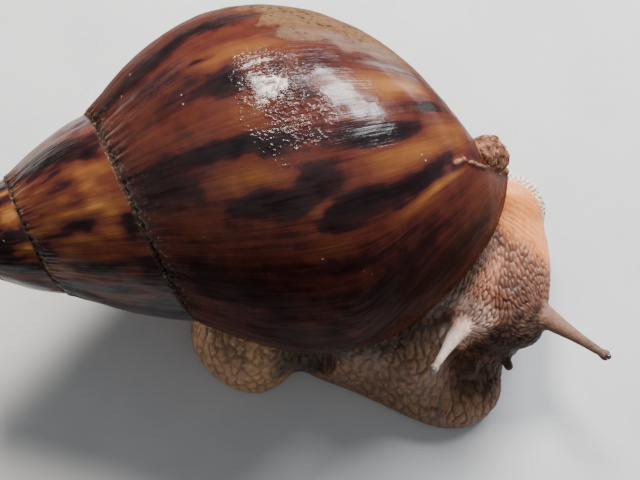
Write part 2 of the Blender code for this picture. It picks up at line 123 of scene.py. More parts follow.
# The skin: how far the solids are swollen to melt together, and the grain of the mesh.
MELT = 0.26 * MM
SKIN_VOXEL = 0.39 * MM
SKIN_INSET = 0.05 * MM
SKIN_SMOOTHING = 7
FEELERS = ("feeler_upper_right", "feeler_upper_left", "feeler_lower_right", "feeler_lower_left")
FLESH_NODES = ("head", "neck", "foot_front", "foot_middle", "tail", "mantle_collar", *FEELERS)

# The skin's bumps in millimetres: length along the grain and width across it; how deep the creases between
# them are; and the share of their size that the fine bumps on them have.
FOOT_BUMP = np.array((3, 1.75))
TAIL_BUMP = np.array((2.6, 1.8))
HEAD_BUMP = np.array((1.7, 0.74))
FOREHEAD_BUMP = np.array((1.5, 0.54))
MARGIN_BUMP = np.array((0.88, 0.72))
FEELER_BUMP = np.array((1.3, 0.5))
BUMP_DEPTH = 0.38
FINE_BUMPS = 0.45

# The view: tilt above the floor, distance and height of the point looked at, the shell's apex from that
# point in millimetres, the lens, and how far off the lamps are.
VIEW_TILT = 74 * DEGREE
VIEW_DISTANCE = 200 * MM
VIEW_HEIGHT = 32 * MM
APEX_FROM_VIEW = (-73.7, -5.3, 6.8)
LENS = 60.81
SENSOR = 36
LAMP_DISTANCE = 0.5

random = np.random.default_rng(7)
NOISE_TABLE = np.random.default_rng(3).uniform(-1, 1, 8192)


# Smooth and random values.

def held(value):
    """A value kept from 0 to 1."""
    return np.clip(value, 0, 1)


def rise(value, low=0, high=1):
    """Rises from 0 at low to 1 at high, with level ends."""
    part = held((value - low) / (high - low))
    return part * part * (3 - 2 * part)


def fall(value, low=0, high=1):
    """Falls from 1 at low to 0 at high."""
    return 1 - rise(value, low, high)


def rise_mm(value, low, high, start=0):
    """Rises from 0 to 1 between two distances past a start."""
    return rise(value, start + low * MM, start + high * MM)


def fall_mm(value, low, high, start=0):
    """Falls from 1 to 0 between two distances past a start."""
    return 1 - rise_mm(value, low, high, start)


def mixed(first, second, share):
    """The first value where share is 0, the second where it is 1."""
    return first * (1 - share) + second * share


def span(vectors):
    """The length of each vector."""
    return np.linalg.norm(vectors, axis=-1)


def unit(vectors):
    """Vectors made one long."""
    return vectors / np.maximum(np.linalg.norm(vectors, axis=-1, keepdims=True), 1e-12)


def flat(*axes):
    """Points from their coordinates."""
    return np.stack(axes, axis=-1)


def noise(points, seed=0):
    """Smooth random values from -1 to 1, one cell to a unit."""
    axes = points.shape[-1]
    whole = np.floor(points).astype(np.int64)
    part = rise(points - whole)
    primes = np.array((73856093, 19349663, 83492791))[:axes]
    total = np.zeros(points.shape[:-1])
    for corner in range(2 ** axes):
        offset = np.array([(corner >> axis) & 1 for axis in range(axes)])
        weight = np.prod(np.where(offset, part, 1 - part), axis=-1)
        key = np.bitwise_xor.reduce((whole + offset) * primes, axis=-1) + seed * 7919
        total += weight * NOISE_TABLE[key % len(NOISE_TABLE)]
    return total


def layered(points, seed, layers=3):
    """Noise with finer layers added, each half as strong."""
    return sum(noise(points * 2 ** layer, seed + layer) * 0.5 ** layer for layer in range(layers))


def uneven_mm(points, cell, reach, seed, layers=3):
    """Random distances that make an edge ragged."""
    return layered(points / (cell * MM), seed, layers) * reach * MM


# Helpers for meshes and materials.

def linked(name, data):
    """A new object in the scene."""
    thing = bpy.data.objects.new(name, data)
    bpy.context.scene.collection.objects.link(thing)
    return thing


def from_bmesh(bm, name):
    """A new object in the scene, with the mesh that was made."""
    mesh = bpy.data.meshes.new(name)
    bm.to_mesh(mesh)
    bm.free()
    return linked(name, mesh)


def settle(piece, replaced):
    """Shades a piece smooth and ties it to the frame."""
    piece.data.shade_smooth()
    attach(piece, "root")
    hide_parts(*replaced)
    return piece


def face_outwards(mesh):
    """Points every face of a closed mesh out."""
    bm = bmesh.new()
    bm.from_mesh(mesh)
    bmesh.ops.recalc_face_normals(bm, faces=bm.faces)
    bm.to_mesh(mesh)
    bm.free()


def store(mesh, maps):
    """Keeps named values, vectors or colours for each vertex."""
    kinds = {1: ("FLOAT", "value"), 3: ("FLOAT_VECTOR", "vector"), 4: ("FLOAT_COLOR", "color")}
    for name, values in maps.items():
        values = np.asarray(values, np.float32)
        kind, field = kinds[1 if values.ndim == 1 else values.shape[1]]
        mesh.attributes.new(name, kind, "POINT").data.foreach_set(field, values.ravel())


class Nodes:
    """A short way to write a material's nodes."""

    def __init__(self, name):
        self.material = bpy.data.materials.new(name)
        self.material.use_nodes = True
        self.tree = self.material.node_tree
        self.shader = self.tree.nodes["Principled BSDF"]
        self.place = self.node("TexCoord", "Object", {})

    def link(self, value, socket):
        """Joins an output to a socket, or sets the socket's value."""
        if isinstance(value, bpy.types.NodeSocket):
            self.tree.links.new(value, socket)
        else:
            socket.default_value = value

    def node(self, kind, output, inputs, **settings):
        """Adds a node and returns one of its outputs."""
        node = self.tree.nodes.new("ShaderNode" + kind)
        for name, value in settings.items():
            setattr(node, name, value)
        for name, value in inputs.items():
            self.link(value, node.inputs[name])
        return node.outputs[output]

    def attribute(self, name, output="Fac"):
        """A value kept on the mesh."""
        return self.node("Attribute", output, {}, attribute_name=name)

    def noise(self, scale, detail, roughness=0.55, vector=None):
        """Noise from 0 to 1, over the object or another map."""
        return self.node("TexNoise", "Fac", {
            "Vector": vector or self.place, "Scale": scale, "Detail": detail, "Roughness": roughness})

    def grain(self, along, across, detail=4, roughness=0.55):
        """Noise drawn out along the shell's growth lines."""
        whorl = self.attribute("whorl", "Vector")
        scaled = self.node("Mapping", "Vector", {"Vector": whorl, "Scale": (along, across, 1)})
        return self.noise(1, detail, roughness, scaled)

    def cells(self, scale):
        """Distance to the middle of the nearest random cell."""
        return self.node("TexVoronoi", "Distance", {"Vector": self.place, "Scale": scale})

    def math(self, kind, first, second):
        """One sum, with both values as sockets or numbers."""
        return self.node("Math", 0, {0: first, 1: second}, operation=kind)

    def times(self, first, second):
        """Two values multiplied."""
        return self.math("MULTIPLY", first, second)

    def plus(self, first, second):
        """Two values added."""
        return self.math("ADD", first, second)

    def spread(self, value, low, high, to_low=0, to_high=1):
        """Maps low..high onto another range, held at its ends."""
        return self.node("MapRange", "Result", {
            "Value": value, "From Min": low, "From Max": high, "To Min": to_low, "To Max": to_high,
        }, interpolation_type="SMOOTHSTEP")

    def ramp(self, value, stops):
        """Colours at places along a value."""
        node = self.tree.nodes.new("ShaderNodeValToRGB")
        self.link(value, node.inputs["Fac"])
        elements = node.color_ramp.elements
        while len(elements) < len(stops):
            elements.new(0.5)
        for element, (place, *colour) in zip(elements, stops):
            element.position = place
            element.color = (*(part / 1000 for part in colour), 1)
        return node.outputs["Color"]

    def mix(self, factor, first, second, kind="MIX"):
        """One colour over another."""
        node = self.tree.nodes.new("ShaderNodeMix")
        node.data_type = "RGBA"
        node.blend_type = kind
        sockets = {socket.identifier: socket for socket in node.inputs}
        self.link(factor, sockets["Factor_Float"])
        for name, value in (("A_Color", first), ("B_Color", second)):
            if isinstance(value, tuple):
                value = (*(part / 1000 for part in value), 1)
            self.link(value, sockets[name])
        return next(socket for socket in node.outputs if socket.identifier == "Result_Color")

    def bump(self, height, distance, **under):
        """Fine relief, over another Normal if one is given."""
        return self.node("Bump", "Normal", {"Distance": distance, "Height": height, **under})

    def finish(self, **sockets):
        """Sets the shader's sockets, with _ for a space."""
        for name, value in sockets.items():
            self.link(value, self.shader.inputs[name.replace("_", " ")])
        return self.material


# The shell's form.

def axis_frame():
    """The shell's axis, the level direction to its right, and the one up from both."""
    level = np.array((math.cos(AXIS_HEADING), math.sin(AXIS_HEADING), 0))
    along = level * math.cos(AXIS_PITCH) + np.array((0, 0, math.sin(AXIS_PITCH)))
    side = np.cross(along, (0, 0, 1))
    side /= np.linalg.norm(side)
    return along, side, np.cross(side, along)


ALONG, SIDE, UP = axis_frame()
BALL = ALONG * APEX_BALL_Z


def whorl_sizes(growth):
    """Suture, widest place and base end; growth is 0 at the lip and -TURN one whorl earlier."""
    past = growth + TURN
    late = np.maximum(past, 0)
    slow_r = (SPIRE_RATE * TURN - math.log(WIDEST_R / SUTURE_R)) / TURN ** 2
    slow_z = (SPIRE_RATE * TURN - math.log(WIDEST_Z / SUTURE_Z)) / TURN ** 2
    suture = np.exp(SPIRE_RATE * growth)
    base = np.exp(BASE_RATE * growth)
    widest_r = SUTURE_R * np.exp(SPIRE_RATE * past - slow_r * late ** 2)
    widest_z = SUTURE_Z * np.exp(SPIRE_RATE * past - slow_z * late ** 2)
    return (SUTURE_R * suture, SUTURE_Z * suture), (widest_r, widest_z), (BASE_R * base, BASE_Z * base)


def lip_sweep(place):
    """How far a growth line runs ahead at a place."""
    part = held(place - 1)
    return LIP_SWEEP * part + LIP_HOLLOW * np.sin(math.pi * part)


def profile(growth, place):
    """Radius and height along the axis, at places from suture 0 to base 2."""
    suture, widest, base = whorl_sizes(growth)
    part = held(place)
    level = fall((growth + TURN) / ROUNDING_TURN)
    shoulder = SHOULDER_SLOPE + (SPIRE_SHOULDER_SLOPE - SHOULDER_SLOPE) * level
    height = widest[1] - suture[1]
    start = 2 * part ** 3 - 3 * part ** 2 + 1
    leaving = (part ** 3 - 2 * part ** 2 + part) * shoulder * height
    arriving = (part ** 3 - part ** 2) * SPIRE_EDGE_SLOPE * level * height
    upper_r = start * suture[0] + leaving + arriving + (1 - start) * widest[0]
    bend = held(place - 1) * math.pi / 2
    lower_r = base[0] + (widest[0] - base[0]) * np.maximum(np.cos(bend), 0) ** BASE_ROUNDNESS
    lower_z = widest[1] + (base[1] - widest[1]) * np.sin(bend) ** BASE_ROUNDNESS
    above = place <= 1
    return np.where(above, upper_r, lower_r), np.where(above, suture[1] + height * part, lower_z)


def spiral_point(growth, place):
    """Points of the smooth shell, from the spiral's apex point."""
    radius, height = profile(growth, place)
    turn = growth + lip_sweep(place) + LIP_ROLL
    out = SIDE * np.cos(turn)[..., None] - UP * np.sin(turn)[..., None]
    point = ALONG * height[..., None] + out * radius[..., None]
    offset = point - BALL
    length = np.linalg.norm(offset, axis=-1, keepdims=True)
    drawn_in = BALL + offset * APEX_BALL_R / np.maximum(length, 1e-9)
    beyond = ((offset @ ALONG) < 0)[..., None] & (length > APEX_BALL_R)
    return np.where(beyond, drawn_in, point)


def spiral_normal(growth, place):
    """Outward directions of the smooth shell."""
    step = 0.01
    ahead = spiral_point(growth + step, place) - spiral_point(growth - step, place)
    above, below = np.maximum(place - step, 0), np.minimum(place + step, 1.999)
    normal = unit(np.cross(ahead, spiral_point(growth, below) - spiral_point(growth, above)))
    out = spiral_point(growth, place)
    out = out - ALONG * (out @ ALONG)[..., None]
    sign = np.sign((normal * out).sum(axis=-1, keepdims=True))
    return normal * np.where(sign == 0, 1, sign)


def row_places(rows):
    """Places from suture to base, even above and below the widest."""
    upper, lower = rows
    return np.concatenate((np.arange(upper + 1) / upper, 1 + np.arange(1, lower + 1) / lower))


def whorl_grid(numbers, steps, places):
    """Growth angles, back from the lip, and places over a grid."""
    return np.meshgrid(-numbers / steps * TURN, places, indexing="ij")


def spiral_apex():
    """The spiral's apex point, from the solid shell's low corner and that of the same points here."""
    places = row_places(CAD_ROWS)
    spire = np.arange(round(WHORLS * CAD_STEPS) + 1)
    grid = spiral_point(*whorl_grid(np.arange(CAD_STEPS + 1), CAD_STEPS, places))
    cone = spiral_point(*whorl_grid(spire, CAD_STEPS, places[:CAD_ROWS[0] + 1]))
    tip = ALONG * (APEX_BALL_Z - APEX_BALL_R)
    low = np.min(np.concatenate((grid.reshape(-1, 3), cone.reshape(-1, 3), tip[None])), axis=0)
    return np.array(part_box("shell")[0]) - low


APEX = spiral_apex()


# The shell's markings and relief.

def whorl_place(angle, place):
    """A flat map of the shell: the way round the whorl, and the way across it."""
    size = np.exp(SPIRE_RATE * angle * DEGREE)
    upper = place * (WIDEST_Z - SUTURE_Z) * 1.15
    lower = (place - 1) * 62 * MM + 31.4 * MM
    across = np.where(place <= 1, upper, lower)
    return flat(WIDEST_R / SPIRE_RATE * size, across * size, np.zeros_like(angle))


def streak_angle(growth, place):
    """The angle in degrees that a streak keeps; it bends less than the lip does."""
    share = rise(-growth / DEGREE, 12, 60)
    return (growth + lip_sweep(place) * share) / DEGREE


def streak_tone(angle, place):
    """Light and dark: drawn streaks on the side shown, random ones elsewhere."""
    wobble = layered(flat(angle / 8, place * 7), 40)
    shift = layered(flat(angle / 5, place * 3), 50) * 0.05
    tone = layered(flat(angle / 8.5, place * 2.2 + 5), 60) * 1.05 - 0.15
    low, high = STREAK_SIDE
    shown = rise(angle, low - 12, low) * fall(angle, high, high + 12)
    tone = tone * (1 - 0.84 * shown) + SHOWN_TONE * shown
    for middle, spot, width, length, strength in STREAKS:
        aside = (angle - middle + wobble * 1.5) / (width * 1.3)
        off = np.hypot(aside, (place - spot + shift) / (length * 1.25))
        tone += strength * fall(off + wobble * 0.12, 0.15, 1.25)
    return np.clip(tone, -1.3, 1.5)


def worn_share(angle, place, point):
    """How far the back is worn, below the widest place, and a little above it."""
    edge = layered(point / (3 * MM), 80) * 3
    start = 137 - 22 * np.clip(place - 1, 0, 0.6)
    behind = -(angle + edge)
    back = rise(behind, start, start + 2) * 0.6 + rise(behind, start + 2, start + 12) * 0.4
    back = back * fall(-(angle + edge * 3), 205, 245)
    below = rise(place + edge * 0.02, 1.02, 1.12)
    dusty = rise(-(angle % 360 - 360) - edge, 150, 172) * 0.6
    return held(np.maximum(back * below, dusty * (1 - below) * (angle < -100)))


def beaded_share(angle, place):
    """Where the wet film stands in small beads."""
    return fall(np.hypot((angle + 115) / 20, (place - 0.95) / 0.22), 0.75, 1.15)


def gloss_share(angle, place, point):
    """How wet the shell is: gleaming on top, nearly dry towards lip and floor."""
    patches = layered(point / (9 * MM), 85) * 6
    top = rise(angle + patches, -143, -131) * fall(angle + patches, -94, -66)
    behind = rise(-(angle + patches * 3), 235, 270) * 0.5
    spire = rise(-angle, 370, 400) * 0.07
    top = top * fall(place, 1.36, 1.56)
    dim = 0.01 + 0.04 * rise(angle, -90, -70) * fall(place, 1.05, 1.25)
    return np.clip(np.maximum(np.maximum(top, behind), spire), dim, 1)


def scar_share(growth, place):
    """The mended scar's ridge, 1 on its line."""
    across, along = SCAR_SCALE
    spots = flat(growth / DEGREE * across, place * along)
    line = np.array([(angle * across, spot * along) for angle, spot in SCAR])
    nearest = np.full(growth.shape, 1e9)
    for first, second in zip(line, line[1:]):
        run = second - first
        part = held(((spots - first) @ run) / (run @ run))
        nearest = np.minimum(nearest, span(spots - first - part[..., None] * run))
    wave = 0.8 + 0.55 * layered(flat(growth * 40, place * 34), 90, 2)
    return np.exp(-(nearest / SCAR_WIDTH) ** 2) * np.clip(wave, 0.35, 1.4)


def shell_relief(growth, place, point):
    """Height of the sculpture above the smooth spiral."""
    angle = streak_angle(growth, place) * DEGREE
    spots = flat(angle * 16, place * 2)
    lines = noise(spots, 10) * 0.5 + noise(spots * (2.3, 1), 11) * 0.35
    rests = rise(np.abs(noise(flat(angle * 9, place * 0.9), 12)), 0.55, 0.85)
    near_lip = rise(growth / DEGREE, -45, 0)
    dents = layered(point / (7 * MM), 20) * 0.13 + layered(point / (2 * MM), 25, 2) * 0.028
    tucks = noise(flat(growth * 34, place * 9), 30)
    by_suture = np.exp(-place / 0.08)
    relief = lines * (0.045 + 0.07 * near_lip) - rests * 0.07 + dents
    relief = relief + by_suture * (0.34 * tucks + 0.12) - 0.45 * np.exp(-(place / 0.012) ** 2)
    fade = np.where(growth < -TURN, fall(place, 0.86, 1), 1)
    return (relief * fade + 0.55 * scar_share(growth, place)) * MM


# The shell's mesh.

def zip_rows(*rows):
    """Triangles between two rows of vertex numbers that share their ends."""
    steps = sorted((step / (len(row) - 1), side)
                   for side, row in enumerate(rows) for step in range(1, len(row)))
    at = [0, 0]
    faces = []
    for _, side in steps:
        first, last = rows[0][at[0]], rows[1][at[1]]
        at[side] += 1
        corners = (first, rows[side][at[side]], last)
        if len(set(corners)) == 3:
            faces.append(corners)
    return faces


class ShellMesh:
    """Gathers the shell's vertices, each with its growth angle and place."""

    def __init__(self):
        self.points = []
        self.growth = []
        self.place = []
        self.faces = []
        self.count = 0

    def add(self, points, growth, place):
        """Adds rows of points and returns their numbers."""
        shape = points.shape[:-1]
        self.points.append(points.reshape(-1, 3))
        self.growth.append(np.broadcast_to(growth, shape).ravel())
        self.place.append(np.broadcast_to(place, shape).ravel())
        numbers = np.arange(self.count, self.count + math.prod(shape)).reshape(shape)
        self.count += numbers.size
        return numbers

    def strip(self, first, second):
        """Quads between two rows of the same length."""
        for corners in np.stack((first[:-1], first[1:], second[1:], second[:-1]), axis=1).tolist():
            corners = list(dict.fromkeys(corners))
            if len(corners) > 2:
                self.faces.append(corners)

    def cap(self, loop, hub, shaping, growth, place):
        """Closes a loop with rings that shrink to a middle point."""
        ring = loop
        corners = np.concatenate(self.points)[loop]
        for step in range(1, CAP_RINGS):
            share = step / CAP_RINGS
            inner = self.add(shaping(mixed(corners, hub, share), share), growth, place)
            self.strip(np.append(ring, ring[0]), np.append(inner, inner[0]))
            ring = inner
        middle = self.add(shaping(hub[None], 1), growth, place)[0]
        self.faces += [[a, b, int(middle)] for a, b in zip(ring.tolist(), np.roll(ring, -1).tolist())]


def raised(growth, place, inset=0):
    """Points of the sculptured shell, or under it."""
    smooth = spiral_point(growth, place)
    lift = shell_relief(growth, place, smooth) - inset
    return smooth + spiral_normal(growth, place) * lift[..., None]


def add_whorls(shell):
    """The outside: one full whorl with its base, and the spire; returns both grids."""
    upper = ROWS[0]
    places = row_places(ROWS)
    growth, place = whorl_grid(np.arange(STEPS + 1), STEPS, places)
    body = shell.add(raised(growth, place), growth, place)
    earlier = np.arange(STEPS + 1, round(WHORLS * STEPS) + 1)
    growth, place = whorl_grid(earlier, STEPS, places[:upper])
    spire = shell.add(raised(growth, place), growth, place)
    sutures = np.concatenate((body[:, 0], spire[:, 0]))
    rest = np.concatenate((spire, sutures[1:len(spire) + 1, None]), axis=1)
    joined = np.concatenate((body[:, :upper + 1], rest), axis=0)
    joined[STEPS, upper] = body[0, 0]
    return body, joined


def add_mouth(shell, body):
    """The lip's thickness and the wall inside it; returns their open ends at the base."""
    places = row_places(ROWS)[1:]
    taper = np.minimum(1, places / LIP_TAPER)
    lip = body[0]
    rows = []
    for growth, depth in ((np.zeros_like(places), LIP_THICKNESS), (-MOUTH_DEPTH * taper, MOUTH_WALL)):
        inner = shell.add(raised(growth, places, depth * taper), growth, places)
        rows.append(np.append(lip[0], inner))
    edge, wall = rows
    shell.strip(lip, edge)
    shell.strip(edge, wall)
    parietal = np.append(body[0, 0], body[STEPS, ROWS[0] + 1:])
    shell.faces += zip_rows(wall.tolist(), parietal.tolist())
    return [wall[-1], edge[-1]]


LIP_END = spiral_point(np.zeros(1), np.full(1, 2.0))[0]


def knob_frame():
    """The lump's middle, and its directions: down its slope, outwards and across."""
    basis = np.stack((ALONG, SIDE, UP))
    middle = LIP_END + np.array(KNOB_PLACE) @ basis
    slope = np.array(KNOB_SLOPE) @ basis
    slope /= np.linalg.norm(slope)
    out = np.cross(SIDE, slope)
    out /= np.linalg.norm(out)
    out = out if out @ ALONG > 0 else -out
    return middle, np.stack((slope, out, np.cross(slope, out)))


KNOB_MIDDLE, KNOB_WAYS = knob_frame()


def knob_reach(points):
    """How far out points are from the lump, 1 on its surface."""
    return span((points - KNOB_MIDDLE) @ KNOB_WAYS.T / np.array(KNOB_SIZE))


def knob_ridge(points):
    """1 on the pale ridge across the lump's lower end."""
    return rise((points - KNOB_MIDDLE) @ KNOB_WAYS[0] / KNOB_SIZE[0], 0.45, 0.75)


def drawn_to_knob(points, place):
    """The shell with its last points gathered inside the lump."""
    near = fall_mm(span(points - LIP_END), 8, 17)
    inside = np.minimum(1, 0.92 / np.maximum(knob_reach(points), 1e-6))
    share = near * rise(place, 1.82, 1.91)
    return KNOB_MIDDLE + (points - KNOB_MIDDLE) * (1 - share * (1 - inside))[:, None]


def add_knob(shell):
    """The rough round lump in which the lip ends at the base."""
    bm = bmesh.new()
    bmesh.ops.create_icosphere(bm, subdivisions=6, radius=1)
    ball = np.array([vertex.co for vertex in bm.verts])
    faces = np.array([[vertex.index for vertex in face.verts] for face in bm.faces])
    bm.free()
    lump = (ball * np.array(KNOB_SIZE)) @ KNOB_WAYS
    coarse = layered(lump / (2.6 * MM), 71) * 0.5 + layered(lump / (0.6 * MM), 75, 2) * 0.1
    lump = lump + ball @ KNOB_WAYS * coarse[:, None] * MM
    numbers = shell.add(KNOB_MIDDLE + lump, -0.5, 2)
    shell.faces += numbers[faces].tolist()


def base_shape(points, share):
    """The uneven end of the shell's base."""
    lump = uneven_mm(points, 1.6, 0.35, 70) * math.sin(math.pi * min(share + 0.15, 1))
    return points + ALONG * lump[:, None]


def apex_shape(points, share):
    """The round first whorl, the same at every share."""
    offset = points - BALL
    return BALL + offset * APEX_BALL_R / np.linalg.norm(offset, axis=1, keepdims=True)


def close_shell(shell, body, joined, open_ends):
    """Caps the shell's base and apex, and sets the lump on the base."""
    base_loop = np.append(body[:, -1], open_ends)
    hub = ALONG * BASE_KNOB[0] + SIDE * BASE_KNOB[1]
    shell.cap(base_loop, hub, base_shape, -0.5, 2)
    top_loop = np.append(joined[-STEPS - 1:, 0], joined[-1, 1:-1])
    shell.cap(top_loop, ALONG * (APEX_BALL_Z - APEX_BALL_R), apex_shape, -WHORLS * TURN, 0.1)
    shell.points = [drawn_to_knob(np.concatenate(shell.points), np.concatenate(shell.place))]
    add_knob(shell)


def shell_maps(points, growth, place):
    """The values that the shell's material reads."""
    angle = streak_angle(growth, place)
    knob = np.maximum(rise(place, 1.93, 1.99), fall(knob_reach(points), 1.02, 1.22))
    scar = np.maximum(scar_share(growth, place) * (1 - 0.5 * knob), knob_ridge(points) * knob)
    dirt = np.exp(-place / 0.05) + np.where(growth < -TURN, rise(place, 0.95, 1), 0)
    return {
        "whorl": whorl_place(angle, place),
        "tone": streak_tone(angle, place),
        "worn": worn_share(angle, place, points),
        "knob": knob,
        "scar": scar,
        "dirt": held(dirt),
        "lip": rise(growth / DEGREE, -46, -8),
        "beads": beaded_share(angle, place),
        "gloss": gloss_share(angle, place, points),
        "upper": fall(place, 0.9, 1.08),
    }


def build_shell():
    """The shell piece, with the maps that its material reads."""
    shell = ShellMesh()
    body, joined = add_whorls(shell)
    for grid in (joined, body[:, ROWS[0]:]):
        for first, second in zip(grid[:-1], grid[1:]):
            shell.strip(first, second)
    close_shell(shell, body, joined, add_mouth(shell, body))
    points, growth, place = map(np.concatenate, (shell.points, shell.growth, shell.place))
    mesh = bpy.data.meshes.new("shell_surface")
    mesh.from_pydata((points + APEX).tolist(), [], shell.faces)
    mesh.update()
    piece = settle(linked("shell_surface", mesh), ["shell"])
    face_outwards(mesh)
    store(mesh, shell_maps(points, growth, place))
    mesh.materials.append(shell_material())
    return piece


# The shell's material.

def streak_colours(nodes):
    """Amber and black-brown streaks, finely lined towards the lip."""
    wavy = nodes.plus(nodes.spread(nodes.grain(1100, 50, 5, 0.6), 0.2, 0.8, -0.15, 0.15),
                      nodes.spread(nodes.noise(240, 5, 0.6), 0.3, 0.7, -0.13, 0.13))
    value = nodes.spread(nodes.plus(nodes.attribute("tone"), wavy), -1.4, 1.6)
    colour = nodes.ramp(value, (
        (0, 8, 5, 6), (0.22, 25, 9, 10), (0.36, 78, 20, 14), (0.5, 96, 27, 15),
        (0.66, 125, 42, 17), (0.84, 175, 66, 21), (1, 275, 120, 38)))
    lip = nodes.attribute("lip")
    # Darker towards the lip: partly the lip's own reddish brown, partly painted shade.
    colour = nodes.mix(nodes.times(lip, 0.55), colour, (66, 18, 7))
    lines = nodes.spread(nodes.grain(1500, 30, 4, 0.6), 0.48, 0.62)
    return nodes.mix(nodes.times(lines, nodes.times(lip, 0.75)), colour, (20, 9, 7))


def worn_colours(nodes, worn, pitted, colour):
    """The worn back, sandy below and dusty above, with specks, pits and a dark rim."""
    specks = nodes.spread(nodes.noise(900, 3, 0.7), 0.34, 0.62, 0.55, 1)
    sandy = nodes.mix(nodes.grain(700, 120), (85, 43, 21), (205, 125, 68))
    dust = nodes.mix(nodes.grain(900, 90), (70, 31, 23), (155, 78, 58))
    ground = nodes.mix(nodes.attribute("upper"), sandy, dust)
    colour = nodes.mix(nodes.times(worn, specks), colour, ground)
    colour = nodes.mix(nodes.times(pitted, 0.85), colour, (30, 18, 14))
    rim = nodes.times(nodes.spread(worn, 0.06, 0.3), nodes.spread(worn, 0.35, 0.6, 1, 0))
    return nodes.mix(nodes.times(rim, 0.75), colour, (60, 14, 9))


def soil_and_painted_glints(nodes, dirt, colour):
    """Small painted glints, pale specks of painted highlight from the wet film, and soil in the suture."""
    # painted highlight: sparse pale glints of the wet film
    glints = nodes.spread(nodes.cells(330), 0.045, 0.075, 1, 0)
    glints = nodes.times(glints, nodes.spread(nodes.noise(90, 2), 0.5, 0.6))
    glints = nodes.times(glints, nodes.spread(nodes.noise(2400, 2), 0.44, 0.56))
    colour = nodes.mix(nodes.times(glints, 0.8), colour, (450, 360, 300))
    grains = nodes.noise(1500, 3, 0.7)
    soil = nodes.mix(nodes.spread(grains, 0.55, 0.68), (30, 18, 13), (330, 210, 130))
    return nodes.mix(nodes.times(dirt, nodes.spread(grains, 0.25, 0.55, 0.35, 0.95)), colour, soil)


def scar_colours(nodes, knob, scar, crust, either, colour):
    """The rough lump and the pale scar, with light flecks on both."""
    rough_colour = nodes.mix(crust, (70, 28, 15), (310, 145, 92))
    colour = nodes.mix(nodes.spread(knob, 0.1, 0.6), colour, rough_colour)
    scar_colour = nodes.mix(crust, (120, 48, 25), (420, 230, 140))
    colour = nodes.mix(nodes.spread(scar, 0.25, 0.75, 0, 0.9), colour, scar_colour)
    flecks = nodes.spread(nodes.noise(1900, 2, 0.5), 0.66, 0.72)
    return nodes.mix(nodes.times(flecks, either), colour, (600, 470, 400))


def shell_normal(nodes, pitted, crusted):
    """Growth lines, beads of water, wrinkles, pits and crust, one over the other."""
    drops = nodes.spread(nodes.noise(1500, 1, 0.4), 0.46, 0.7)
    bead_edge = nodes.spread(nodes.noise(220, 3), 0.4, 0.56, 0.05, 1)
    beads = nodes.times(nodes.times(nodes.attribute("beads"), drops), bead_edge)
    normal = nodes.bump(nodes.grain(1500, 70, 5, 0.6), 0.1 * MM)
    for height, depth in ((beads, 0.16), (nodes.noise(950, 3, 0.6), 0.04),
                          (nodes.math("SUBTRACT", 1, pitted), 0.12), (crusted, 0.2)):
        normal = nodes.bump(height, depth * MM, Normal=normal)
    return normal


def shell_material():
    """Wet, glossy, streaked shell, worn and dusty in places."""
    nodes = Nodes("shell")
    worn, dirt, scar, knob = (nodes.attribute(name) for name in ("worn", "dirt", "scar", "knob"))
    pits = nodes.spread(nodes.cells(800), 0.18, 0.36, 1, 0)
    sparse = nodes.spread(nodes.noise(260, 4), 0.46, 0.56)
    pitted = nodes.times(nodes.times(pits, sparse), worn)
    crust = nodes.spread(nodes.noise(700, 5, 0.65), 0.36, 0.66)
    either = nodes.math("MAXIMUM", nodes.spread(knob, 0.3, 0.8), nodes.spread(scar, 0.3, 0.8))
    colour = streak_colours(nodes)
    colour = worn_colours(nodes, worn, pitted, colour)
    colour = soil_and_painted_glints(nodes, dirt, colour)
    colour = scar_colours(nodes, knob, scar, crust, either, colour)
    film = nodes.spread(nodes.grain(420, 130, 4, 0.65), 0.36, 0.58, 0.3, 1)
    gloss = nodes.times(nodes.attribute("gloss"), film)
    rough = nodes.plus(nodes.times(worn, 0.42), nodes.times(dirt, 0.35))
    rough = nodes.plus(nodes.plus(rough, nodes.times(either, 0.22)), 0.17)
    normal = shell_normal(nodes, pitted, nodes.times(crust, knob))
    return nodes.finish(Base_Color=colour, Roughness=rough, Normal=normal, IOR=1.45,
                        Specular_IOR_Level=nodes.times(gloss, 0.5),
                        Coat_Weight=nodes.times(gloss, 0.3), Coat_Roughness=0.08)


# The soft body.

def melted_flesh():
    """Copies of the soft solids, swollen until they meet and melted into one."""
    bm = bmesh.new()
    for name in FLESH_NODES:
        bm.from_mesh(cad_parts[name].data)
    for name in ("eye_left", "eye_right"):
        low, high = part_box(name)
        bmesh.ops.create_icosphere(bm, subdivisions=3, radius=(high.x - low.x) * 0.36,
                                   matrix=Matrix.Translation((low + high) / 2))
    skin = from_bmesh(bm, "skin")
    weld = skin.modifiers.new("weld", "WELD")
    weld.merge_threshold = 0.00001
    swell = skin.modifiers.new("swell", "DISPLACE")
    swell.strength = MELT
    swell.mid_level = 0
    melt = skin.modifiers.new("melt", "REMESH")
    melt.mode = "VOXEL"
    melt.voxel_size = SKIN_VOXEL
    bake_modifiers(skin)
    return skin


def bake_modifiers(thing):
    """Keeps the mesh as the object's modifiers leave it."""
    bpy.context.view_layer.update()
    graph = bpy.context.evaluated_depsgraph_get()
    mesh = bpy.data.meshes.new_from_object(thing.evaluated_get(graph))
    thing.modifiers.clear()
    thing.data = mesh


def rows_of(items, field, width=3, kind=np.float32):
    """A field of a mesh's parts, one row to each."""
    values = np.zeros(len(items) * width, kind)
    items.foreach_get(field, values)
    return values.reshape(-1, width)


def points_of(mesh):
    """The vertices' places as rows."""
    return rows_of(mesh.vertices, "co").astype(float)


def normals_of(mesh):
    """The vertices' normals as rows."""
    return rows_of(mesh.vertex_normals, "vector").astype(float)


